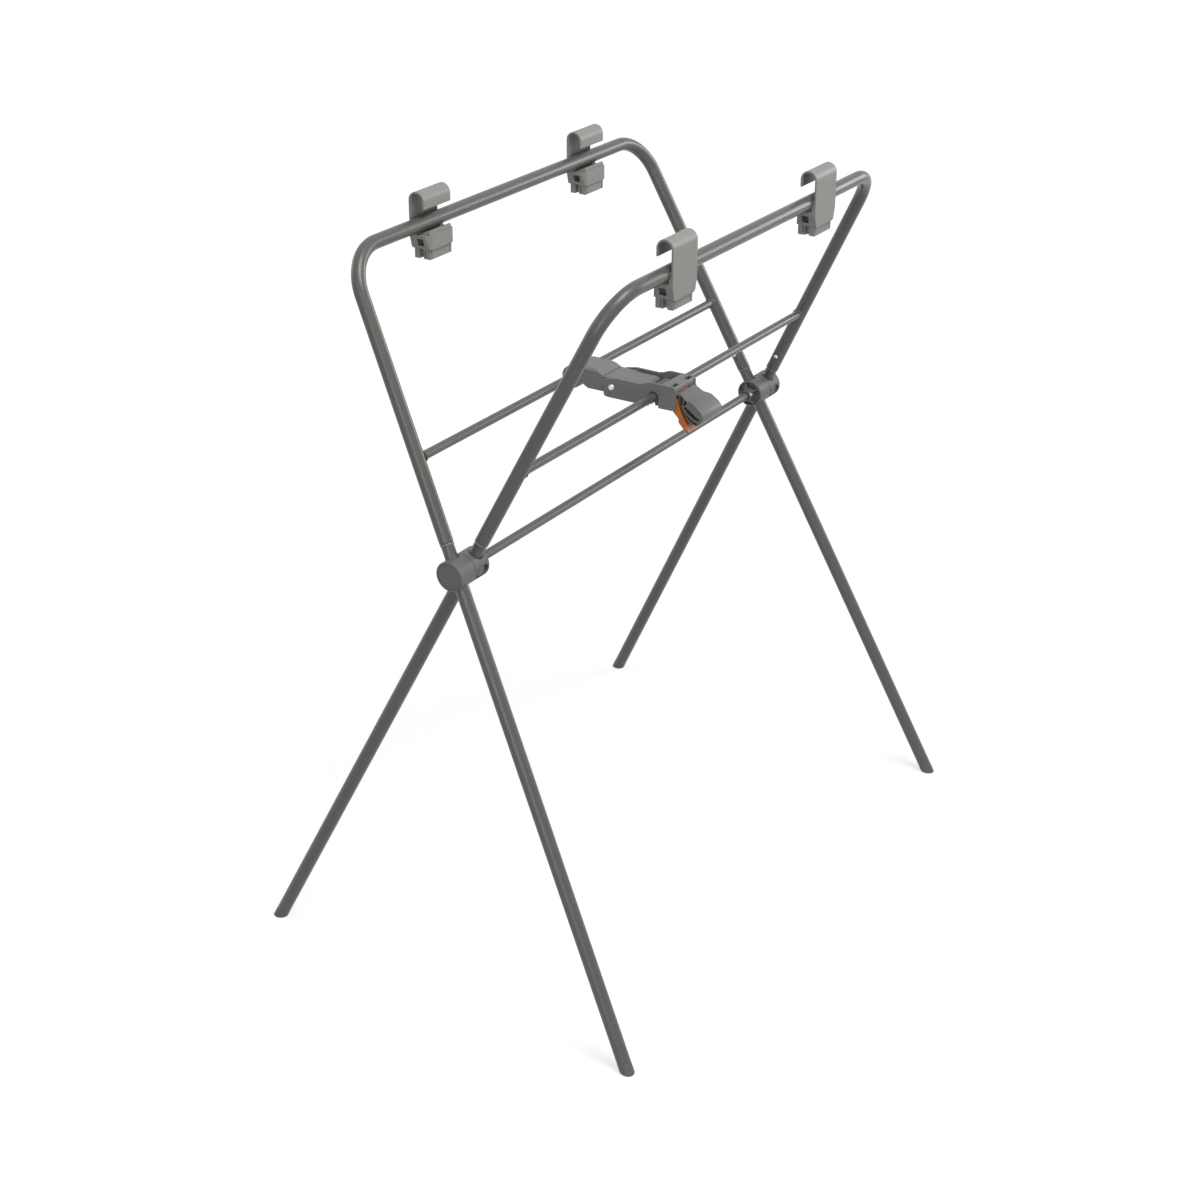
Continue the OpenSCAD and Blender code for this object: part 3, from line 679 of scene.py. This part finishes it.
@dataclass
class Tubes:
    """Bent frames and legs swept in one smooth skin, with their ends, beads and buttons.

    Stations run along a leg, upward from the hubs' axis. The ends of the bent frames and the buttons
    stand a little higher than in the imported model, as the photograph shows them.

    Attributes:
        rise: How much higher the ends of the bent frames stand.
        button_rise: How much higher the buttons stand.
        wall: Thickness of every tube.
        bend_r: Radius of the bends.
        rail_s: Height of the rails in their frame's plane.
        foot_len: Length of the foot at the end of each leg.
        stub_in: How far the stub reaches into the bent frame.
        round_end: Depth of the rounding of the tubes' ends.
        round_share: How much of that depth the radius loses.
        near_end: Plain tube above an end.
        near_hole: Plain tube on each side of a hole.
        past_hole: Plain tube above that.
        way_up: Share of the way up to the bend where a ring stands.
        way_down: Shares of the way down to the foot where rings stand.
        under_hub: Station of the ring under the hub.
        swage: Stations where the leg narrows to its stub.
        bead: Height of the stop bead.
        bead_rings: How far each of its rings is below the tube's end, and its share of the height.
        snap_r: Radius of the holes for the buttons.
        drill: Length and number of sides of the tool that cuts them.
        segments: Steps round each tube.
        bend_steps: Steps along each bend.
        crease: Edges sharper than this stay sharp, in degrees.
    """

    rise: float = 0.0042
    button_rise: float = 0.005
    wall: float = 0.0008
    bend_r: float = 0.062
    rail_s: float = 0.422
    foot_len: float = 0.014
    stub_in: float = 0.042
    round_end: float = 0.0006
    round_share: float = 0.7
    near_end: float = 0.004
    near_hole: float = 0.006
    past_hole: float = 0.03
    way_up: float = 0.6
    way_down: Pair = (0.6, 0.3)
    under_hub: float = -0.03
    swage: Pair = (0.006, 0.009)
    bead: float = 0.0009
    bead_rings: Profile = (
        (0.0036, 0.0), (0.0031, 0.7), (0.0025, 1.0), (0.0016, 1.0), (0.001, 0.7), (0.0006, 0.0))
    snap_r: float = 0.00325
    drill: tuple[float, int] = (0.012, 32)
    segments: int = 40
    bend_steps: int = 20
    crease: float = 30.0

    @property
    def end(self) -> float:
        """Station of the bent frames' ends."""
        return PLAN.tube_end + self.rise

    @property
    def hole(self) -> float:
        """Station of the buttons."""
        return PLAN.tube_end + PLAN.snap_up + self.button_rise

    @staticmethod
    def _place(half: Half, x: float, z: float) -> Vector:
        """Turns a place in a frame's own plane into one in the model.

        Args:
            half: The frame.
            x: Across the frame.
            z: Up the frame, from the hubs' axis.

        Returns:
            The place.
        """
        turn = half.turn
        return Vector(
            (turn * x, turn * z * math.sin(PLAN.lean), PLAN.hub_h + z * math.cos(PLAN.lean)))

    @staticmethod
    def _leg_point(side: Side, s: float) -> Pair:
        """Finds a station's place in the frame's plane.

        Args:
            side: Which leg.
            s: Station along the leg.

        Returns:
            Place across and place up.
        """
        across = PLAN.leg_x(side) + side.sign * s * math.sin(PLAN.splay)
        return across, s * math.cos(PLAN.splay)

    def _skin(self, name: str, half: Half, rings: list[Ring]) -> bpy.types.Object:
        """Makes a closed skin from rings that run along the outside and back along the inside.

        Args:
            name: Name of the piece.
            half: The frame.
            rings: Place across, place up, heading in the frame's plane, and radius of each ring.

        Returns:
            The piece.
        """
        front = Vector((0.0, half.turn * math.cos(PLAN.lean), -math.sin(PLAN.lean)))
        axis = Vector((0.0, 0.0, PLAN.hub_h))
        verts = []
        for x, z, heading, radius in rings:
            centre = self._place(half, x, z)
            side = self._place(half, -math.sin(heading), math.cos(heading)) - axis
            for k in range(self.segments):
                angle = 2 * math.pi * k / self.segments
                verts.append(centre + radius * (math.cos(angle) * side + math.sin(angle) * front))
        faces = []
        n, count = self.segments, len(rings)
        for i in range(count):
            j = (i + 1) % count
            for k in range(n):
                m = (k + 1) % n
                faces.append((i * n + k, i * n + m, j * n + m, j * n + k))
        return Bench.solid(name, verts, faces)

    def _bend(self, centre: Pair, headings: list[float]) -> list[Ring]:
        """Lays out the rings of a bend.

        Args:
            centre: Place of the bend's centre, across and up.
            headings: Heading of each ring.

        Returns:
            The rings.
        """
        x, z = centre
        r = self.bend_r
        return [(x - r * math.sin(h), z + r * math.cos(h), h, PLAN.tube_r) for h in headings]

    def _frame_rings(self) -> list[Ring]:
        """Lays out the rings of a bent frame, end to end outside and back inside."""
        r = PLAN.tube_r
        tip = r - self.round_end * self.round_share
        up = math.pi / 2 - PLAN.splay
        top = self.rail_s / math.cos(PLAN.splay) - self.bend_r * math.tan(up / 2)
        stations = (
            self.end + self.round_end, self.end + self.near_end, self.hole - self.near_hole,
            self.hole + self.near_hole, self.hole + self.past_hole, top * self.way_up, top)
        path: list[Ring] = [(*self._leg_point(Side.OUTER, self.end), up, tip)]
        path += [(*self._leg_point(Side.OUTER, s), up, r) for s in stations]
        x, z = self._leg_point(Side.OUTER, top)
        centre = (x + self.bend_r * math.sin(up), z - self.bend_r * math.cos(up))
        steps = self.bend_steps
        path += self._bend(centre, [up - up * i / steps for i in range(1, steps + 1)])
        x, z = self._leg_point(Side.INNER, top)
        centre = (x - self.bend_r * math.sin(up), z - self.bend_r * math.cos(up))
        path.append(((path[-1][0] + centre[0]) / 2, self.rail_s, 0.0, r))
        path += self._bend(centre, [-up * i / steps for i in range(steps + 1)])
        path += [(*self._leg_point(Side.INNER, s), -up, r) for s in reversed(stations[:-1])]
        path.append((*self._leg_point(Side.INNER, self.end), -up, tip))
        return path + [(x, z, heading, r - self.wall) for x, z, heading, _ in reversed(path)]

    def _leg_rings(self, side: Side) -> list[Ring]:
        """Lays out the rings of a leg, up the outside and down the inside.

        Args:
            side: Which leg.

        Returns:
            The rings.
        """
        up = math.pi / 2 - PLAN.splay
        heading = up if side is Side.OUTER else math.pi - up
        foot = -PLAN.hub_h / math.cos(PLAN.lean) / math.cos(PLAN.splay) + self.foot_len
        head = PLAN.tube_end + self.stub_in
        wide, narrow = self.swage
        r, stub = PLAN.tube_r, PLAN.stub_r
        outside = [(foot, r), *[(foot * share, r) for share in self.way_down]]
        outside += [(self.under_hub, r), (wide, r), (narrow, stub)]
        outside += [(self.end - down, stub + self.bead * share) for down, share in self.bead_rings]
        outside += [(self.hole - self.near_hole, stub), (self.hole + self.near_hole, stub)]
        outside.append((head, stub))
        inside = [(head, stub - self.wall), (narrow, stub - self.wall), (wide, r - self.wall),
                  (foot, r - self.wall)]
        return [(*self._leg_point(side, s), heading, radius) for s, radius in outside + inside]

    def _drill(self, obj: bpy.types.Object, half: Half, side: Side) -> None:
        """Cuts a button's hole through one wall.

        Args:
            obj: The tube.
            half: The frame.
            side: Which leg.
        """
        reach, sides = self.drill
        x, z = self._leg_point(side, self.hole)
        near = self._place(half, x, z)
        far = self._place(half, x + side.sign * reach * math.cos(PLAN.splay),
                          z - reach * math.sin(PLAN.splay))
        bpy.ops.object.select_all(action="DESELECT")
        bpy.ops.mesh.primitive_cylinder_add(vertices=sides, radius=self.snap_r, depth=reach)
        tool = bpy.context.active_object
        aim = (far - near).to_track_quat("Z", "Y").to_matrix().to_4x4()
        tool.matrix_world = Matrix.Translation((near + far) / 2) @ aim
        bpy.context.view_layer.update()
        Bench.merge(obj, tool, Merge.CUT)

    def _frame(self, half: Half, paint: Paintbox) -> None:
        """Makes a bent frame.

        Args:
            half: The frame.
            paint: The materials.
        """
        node = f"upper_frame_{half.value}"
        tube = self._skin(node + "_swept", half, self._frame_rings())
        for side in Side:
            self._drill(tube, half, side)
        Bench.smooth(tube, self.crease)
        paint.dress(tube, "tube_paint")
        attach(tube, f"frame_{half.value}")
        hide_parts(node)

    def _leg(self, half: Half, side: Side, paint: Paintbox) -> None:
        """Makes a leg, with its stop bead paler as a painted highlight.

        Args:
            half: The frame.
            side: Which leg.
            paint: The materials.
        """
        node = f"leg_{side.value}_{half.value}"
        leg = self._skin(node + "_swept", half, self._leg_rings(side))
        self._drill(leg, half, side)
        paint.dress(leg, "tube_paint", BEAD_HIGHLIGHT)
        origin, axis = PLAN.leg_line(half, side)
        low, high = self.end - self.bead_rings[0][0], self.end - self.bead_rings[-1][0]
        # the bead's faces take the painted highlight
        for face in leg.data.polygons:
            if low < (face.center - origin).dot(axis) < high:
                face.material_index = 1
        Bench.smooth(leg, self.crease)
        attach(leg, f"frame_{half.value}")
        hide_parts(node)

    def _button(self, half: Half, side: Side, frame: dict, paint: Paintbox) -> None:
        """Sets a snap button in its hole.

        Args:
            half: The frame.
            side: Which leg.
            paint: The materials.
        """
        node = f"snap_{side.value}_{half.value}"
        button = Bench.copy_node(frame["nodes"][node], node + "_set")
        _, axis = PLAN.leg_line(half, side)
        for vert in button.data.vertices:
            vert.co = vert.co + axis * self.button_rise
        Bench.smooth(button, self.crease)
        paint.dress(button, "button_steel")
        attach(button, body_of(frame["nodes"][node])[0])
        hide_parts(node)

    def build(self, frame: dict, paint: Paintbox) -> None:
        """Makes the frames, the legs and the buttons.

        Args:
            paint: The materials.
        """
        for half in Half:
            self._frame(half, paint)
            for side in Side:
                self._leg(half, side, paint)
                self._button(half, side, frame, paint)
        log.info("tubes: 2 frames, 4 legs and 4 buttons")


@dataclass
class Welds:
    """Fillet welds where the crossbars meet the legs, and the rolled rims of the hub caps.

    Attributes:
        bead: Radius of a weld's section.
        proud: How far a weld stands off its leg.
        ripple: How far a weld's surface wanders.
        rim: Radius of a rim's section.
        rim_r: Radius of a rim.
    """

    bead: float = 0.0015
    proud: float = 0.0008
    ripple: float = 0.00035
    rim: float = 0.0007
    rim_r: float = 0.0189

    def build(self, paint: Paintbox) -> None:
        """Lays four beads and two rims.

        Args:
            paint: The materials.
        """
        back = PLAN.cross_s * math.tan(PLAN.splay)
        for half in Half:
            turn = half.turn
            for side in Side:
                reach = abs(PLAN.leg_x(side)) - back - PLAN.tube_r - self.proud
                centre = (-turn * side.sign * reach, turn * PLAN.cross_y, PLAN.cross_z)
                bead = Bench.ring(f"weld_bead_{side.value}_{half.value}", centre,
                                  PLAN.bar_r + self.bead / 2, self.bead, self.ripple)
                paint.dress(bead, "tube_paint")
                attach(bead, f"frame_{half.value}")
            centre = (-turn * (PLAN.hub_end - self.rim), 0.0, PLAN.hub_h)
            rim = Bench.ring(f"cap_rim_{half.value}", centre, self.rim_r, self.rim)
            paint.dress(rim, "hub_plastic")
            # the rim takes the painted highlight in place of the hub moulding
            rim.data.materials[0] = paint.by_name[RIM_HIGHLIGHT.name]
            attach(rim, f"frame_{half.value}")
        log.info("welds and cap rims: 6 pieces")


@dataclass
class Feet:
    """Foot caps with a rounded tread edge."""

    tread_round: float = 0.0022
    steps: int = 5
    floor_gap: float = 0.0002

    def build(self, frame: dict, paint: Paintbox) -> None:
        """Rounds the sole's edge of each foot cap.

        Args:
            paint: The materials.
        """
        for side in Side:
            for half in Half:
                node = f"foot_{side.value}_{half.value}"
                cap = Bench.copy_node(frame["nodes"][node], node + "_tread")
                verts = cap.data.vertices
                sole = [e.index for e in cap.data.edges
                        if all(verts[i].co.z < self.floor_gap for i in e.vertices)]
                Bench.round_edges(cap, sole, self.tread_round, self.steps)
                Bench.smooth(cap)
                paint.dress(cap, "foot_plastic")
                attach(cap, f"frame_{half.value}")
                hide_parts(node)
        log.info("feet: 4 pieces")


@dataclass
class Grip:
    """The brace's hand grip: outline, slots and root windows as the photograph shows them.

    Profile points are millimetres: outward from the end of the brace, and up from the crossbars.

    Attributes:
        ridge_round: Rounding of the ridges across the back.
        side_round: Rounding of the rims along the sides.
        round_steps: Steps across each rounding.
        root_half: Half the width at the root.
        tip_half: Half the width at the tip.
        root_u: Where the grip starts to widen, in millimetres.
        tip_u: Where it is full width, in millimetres.
        floor_half: Half the distance between the floors of the openings, which take the painted shade.
        floor_slack: How far a point may stand off a floor and still count as on it.
        past_side: How far the openings' tools stand out of the sides.
        past_root: Ridges nearer the brace than this stay sharp.
        crease: Edges sharper than this stay sharp, in degrees.
        back: Outline over the back, from the root to the tip.
        belly: Outline under the belly, from the tip to the root.
        openings: Outlines of the slots and windows of a side.
        tab: Outline of a snap tab.
        tab_x: Distance of the tabs from the middle.
        tab_half: Half the width of a tab.
    """

    ridge_round: float = 0.0018
    side_round: float = 0.0011
    round_steps: int = 3
    root_half: float = 0.021
    tip_half: float = 0.0255
    root_u: float = 6.0
    tip_u: float = 34.0
    floor_half: float = 0.012
    floor_slack: float = 0.0002
    past_side: float = 0.004
    past_root: float = 0.003
    crease: float = 40.0
    back: Profile = (
        (1.0, 10.8), (3.4, 10.9), (6.4, 9.2), (10.6, 6.2), (13.6, 4.2), (17.0, 3.0), (21.0, 2.7),
        (24.8, 2.2), (29.2, -0.2), (35.0, -4.7), (40.4, -9.0), (42.8, -13.5), (42.4, -17.8),
        (40.6, -21.5), (38.2, -25.0))
    belly: Profile = (
        (34.8, -28.2), (30.1, -28.9), (24.5, -28.1), (17.0, -24.0), (12.9, -18.9), (8.6, -12.7),
        (5.6, -8.2), (3.4, -3.0), (2.6, 1.5), (2.0, 8.0))
    openings: tuple[Profile, ...] = (
        ((13.0, -5.9), (18.8, -9.2), (25.0, -12.5), (33.8, -17.3), (37.2, -18.6), (36.8, -20.8),
         (34.7, -21.4), (27.6, -20.2), (22.0, -17.8), (16.4, -13.8), (10.6, -9.4)),
        ((10.6, -13.2), (11.9, -14.3), (16.4, -17.6), (22.1, -21.4), (27.7, -23.9), (34.0, -24.9),
         (33.6, -26.8), (31.0, -27.6), (27.0, -27.2), (22.2, -25.2), (17.2, -21.9), (13.8, -18.2),
         (10.9, -14.4)),
        ((4.2, 7.8), (7.4, 5.9), (8.7, 0.4), (8.2, -4.6), (4.9, -6.9), (4.2, -1.1)),
        ((10.1, 3.9), (13.2, 2.4), (15.4, -0.2), (11.9, -5.2), (9.4, -6.2), (10.7, -0.1)),
    )
    tab: Profile = (
        (-8.8, 7.7), (3.4, 7.7), (3.4, 10.8), (1.0, 10.8), (-5.8, 11.5), (-5.8, 16.0),
        (-7.4, 16.0), (-8.8, 13.6))
    tab_x: float = 0.0173
    tab_half: float = 0.00595

    def _half(self, u: float) -> float:
        """Finds half the grip's width at a station.

        Args:
            u: Station, in millimetres.

        Returns:
            Half the width, in metres.
        """
        share = (u - self.root_u) / (self.tip_u - self.root_u)
        return self.root_half + (self.tip_half - self.root_half) * min(1.0, max(0.0, share))

    @staticmethod
    def _spot(x: float, u: float, n: float) -> Point:
        """Turns a profile point into a place in the model.

        Args:
            x: Place across the brace, in metres from its middle.
            u: Outward, in millimetres.
            n: Up, in millimetres.

        Returns:
            The place.
        """
        return PLAN.brace_x + x, -(PLAN.brace_end + u / 1000), PLAN.cross_z + n / 1000

    def _prism(self, name: str, outline: Profile, sides: list[Pair]) -> bpy.types.Object:
        """Makes a solid with the same outline at both ends.

        Args:
            name: Name of the solid.
            outline: Profile points, in millimetres.
            sides: The two places across the brace at each point, in metres.

        Returns:
            The solid.
        """
        n = len(outline)
        verts = [self._spot(pair[k], u, v) for k in (0, 1) for (u, v), pair in zip(outline, sides)]
        faces = [tuple(range(n)), tuple(range(2 * n - 1, n - 1, -1))]
        faces += [(i, n + i, n + (i + 1) % n, (i + 1) % n) for i in range(n)]
        return Bench.solid(name, verts, faces)

    def _round(self, grip: bpy.types.Object) -> None:
        """Rounds the ridges across the back, then the rims along the sides.

        Args:
            grip: The grip.
        """
        verts = grip.data.vertices
        ridges = []
        for edge in grip.data.edges:
            first, second = (verts[i].co for i in edge.vertices)
            runs_across = abs(first.x - second.x) > 1.8 * self.root_half
            if runs_across and -first.y > PLAN.brace_end + self.past_root:
                ridges.append(edge.index)
        Bench.round_edges(grip, ridges, self.ridge_round, self.round_steps)
        sides = Bench.edge_faces(grip)
        rims = []
        for edge in grip.data.edges:
            faces = sides.get(edge.key, [])
            flat = [face for face in faces if abs(face.normal.x) > 0.9]
            if len(faces) == 2 and len(flat) == 1:
                rims.append(edge.index)
        Bench.round_edges(grip, rims, self.side_round, self.round_steps)

    def _cut(self, grip: bpy.types.Object) -> int:
        """Cuts the slots and the windows from both sides, with floors in painted shade.

        Args:
            grip: The grip.

        Returns:
            How many faces take the painted shade.
        """
        for side in (-1, 1):
            for i, shape in enumerate(self.openings):
                depth = [(side * self.floor_half, side * (self.tip_half + self.past_side))]
                tool = self._prism(f"opening_{side}_{i}", shape, depth * len(shape))
                Bench.merge(grip, tool, Merge.CUT)
        # the openings' floors are painted near black as painted shade
        dark = 0
        for face in grip.data.polygons:
            away = [abs(grip.data.vertices[i].co.x - PLAN.brace_x) for i in face.vertices]
            if max(away) < self.floor_half + self.floor_slack:
                face.material_index = 1
                dark += 1
        return dark

    def build(self, paint: Paintbox) -> None:
        """Makes the grip and its two snap tabs.

        Args:
            paint: The materials.
        """
        outline = self.back + self.belly
        widths = [(-self._half(u), self._half(u)) for u, _ in outline]
        grip = self._prism("grip_soft", outline, widths)
        # the grip's second material is the painted shade of its openings
        paint.dress(grip, "grip_plastic", SLOT_SHADE)
        self._round(grip)
        dark = self._cut(grip)
        for side in (-1, 1):
            across = [(side * self.tab_x - self.tab_half, side * self.tab_x + self.tab_half)]
            tab = self._prism(f"tab_{side}", self.tab, across * len(self.tab))
            Bench.merge(grip, tab, Merge.JOIN)
        Bench.smooth(grip, self.crease)
        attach(grip, "front_arm")
        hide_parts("grip")
        log.info("grip: 1 piece, %d openings, %d dark floors", 2 * len(self.openings), dark)


@dataclass(frozen=True)
class Lamp:
    """A soft round lamp that faces the stand."""

    name: str
    spot: Point
    size: float
    watts: float


@dataclass
class Studio:
    """Camera at the photograph's viewpoint, pale floor and soft light.

    Attributes:
        eye: Place of the camera.
        look: Direction it looks in.
        up: Direction that is up in the picture.
        lens: Focal length, in millimetres.
        sensor: Width of the sensor, in millimetres.
        clip: Nearest and farthest distance seen.
        floor_size: Side of the floor.
        fade: Distances from the middle between which the floor's tone and glow change.
        floor_tone: Tone of the floor near the stand and far from it.
        glow: White that the camera sees on the floor, near the stand and far from it.
        sky_strength: Light from all round.
        aim: Point that the lamps face.
        lamps: The lamps.
    """

    eye: Point = (-2.3853, -1.49955, 1.81014)
    look: Point = (0.7522, 0.486, -0.44498)
    up: Point = (0.37237, 0.24363, 0.89554)
    lens: float = 64.857
    sensor: float = 36.0
    clip: Pair = (0.05, 60.0)
    floor_size: float = 40.0
    fade: Pair = (0.5, 2.2)
    floor_tone: Pair = (0.55, 0.2)
    glow: Pair = (0.64, 0.98)
    sky_strength: float = 0.16
    aim: Point = (0.0, 0.0, 0.6)
    lamps: tuple[Lamp, ...] = (
        Lamp("top_box", (-0.6, -1.9, 4.3), 2.6, 128.0),
        Lamp("near_box", (-4.0, -1.6, 1.4), 2.4, 36.0),
        Lamp("left_box", (-0.4, 3.4, 1.5), 1.6, 12.0),
        Lamp("right_box", (3.2, -1.7, 1.5), 1.6, 34.0),
    )

    @staticmethod
    def _shown(tree: bpy.types.NodeTree) -> bpy.types.NodeSocket:
        """Adds up the rays that see the white background: the camera's and the mirrored ones.

        Args:
            tree: Tree that gets the nodes.

        Returns:
            1 for those rays, else 0.
        """
        rays = tree.nodes.new("ShaderNodeLightPath").outputs
        return Effects.combine(tree, "MAXIMUM", rays["Is Camera Ray"], rays["Is Glossy Ray"])

    def camera(self) -> None:
        """Places the camera."""
        data = bpy.data.cameras.new("camera")
        data.lens = self.lens
        data.sensor_width = self.sensor
        data.clip_start, data.clip_end = self.clip
        cam = bpy.data.objects.new("camera", data)
        bpy.context.collection.objects.link(cam)
        back = -Vector(self.look).normalized()
        right = Vector(self.up).cross(back).normalized()
        up = back.cross(right)
        turn = Matrix((right, up, back)).transposed().to_4x4()
        cam.matrix_world = Matrix.Translation(self.eye) @ turn
        bpy.context.scene.camera = cam

    def floor(self) -> None:
        """Lays a floor that keeps the shadow but reads as white to the camera."""
        bpy.ops.object.select_all(action="DESELECT")
        bpy.ops.mesh.primitive_plane_add(size=self.floor_size, location=(0, 0, 0))
        floor = bpy.context.active_object
        floor.name = "floor"
        mat = bpy.data.materials.new("white_floor")
        mat.use_nodes = True
        tree = mat.node_tree
        tree.nodes.clear()
        out = tree.nodes.new("ShaderNodeOutputMaterial")
        paper = tree.nodes.new("ShaderNodeBsdfDiffuse")
        glow = tree.nodes.new("ShaderNodeEmission")
        coord = tree.nodes.new("ShaderNodeTexCoord")
        away = tree.nodes.new("ShaderNodeVectorMath")
        away.operation = "LENGTH"
        tree.links.new(coord.outputs["Object"], away.inputs[0])
        for limits, socket in (
            (self.glow, glow.inputs["Strength"]),
            (self.floor_tone, paper.inputs["Color"]),
        ):
            tree.links.new(Effects.spread(tree, away.outputs["Value"], self.fade, limits), socket)
        seen = tree.nodes.new("ShaderNodeMixShader")
        black = tree.nodes.new("ShaderNodeEmission")
        black.inputs["Strength"].default_value = 0.0
        tree.links.new(self._shown(tree), seen.inputs[0])
        tree.links.new(black.outputs[0], seen.inputs[1])
        tree.links.new(glow.outputs[0], seen.inputs[2])
        both = tree.nodes.new("ShaderNodeAddShader")
        tree.links.new(paper.outputs[0], both.inputs[0])
        tree.links.new(seen.outputs[0], both.inputs[1])
        tree.links.new(both.outputs[0], out.inputs[0])
        floor.data.materials.append(mat)

    def sky(self) -> None:
        """Sets the light from all round, which the camera sees as white."""
        world = bpy.data.worlds.new("studio")
        bpy.context.scene.world = world
        world.use_nodes = True
        tree = world.node_tree
        tree.nodes.clear()
        out = tree.nodes.new("ShaderNodeOutputWorld")
        pick = tree.nodes.new("ShaderNodeMixShader")
        tree.links.new(self._shown(tree), pick.inputs[0])
        for strength, socket in ((self.sky_strength, pick.inputs[1]), (1.0, pick.inputs[2])):
            node = tree.nodes.new("ShaderNodeBackground")
            node.inputs["Strength"].default_value = strength
            node.inputs["Color"].default_value = (1.0, 1.0, 1.0, 1.0)
            tree.links.new(node.outputs[0], socket)
        tree.links.new(pick.outputs[0], out.inputs[0])

    def lights(self) -> None:
        """Hangs the soft lamps."""
        for lamp in self.lamps:
            data = bpy.data.lights.new(lamp.name, "AREA")
            data.shape = "DISK"
            data.size = lamp.size
            data.energy = lamp.watts
            obj = bpy.data.objects.new(lamp.name, data)
            obj.location = lamp.spot
            aim = Vector(self.aim) - Vector(lamp.spot)
            obj.rotation_euler = aim.to_track_quat("-Z", "Y").to_euler()
            bpy.context.collection.objects.link(obj)

    def build(self) -> None:
        """Sets up the whole studio."""
        self.camera()
        self.floor()
        self.sky()
        self.lights()
        bpy.context.scene.view_settings.view_transform = "Standard"
        log.info("studio ready")


def main() -> None:
    """Builds the dressed stand."""
    logging.basicConfig(level=logging.INFO, format="%(name)s: %(message)s")
    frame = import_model()
    paint = Paintbox()
    paint.dress_frame(frame)
    log.info("finishes on %d packed nodes", len(frame["nodes"]))
    Tubes().build(frame, paint)
    Welds().build(paint)
    Feet().build(frame, paint)
    Grip().build(paint)
    Studio().build()


if __name__ == "__main__":
    main()
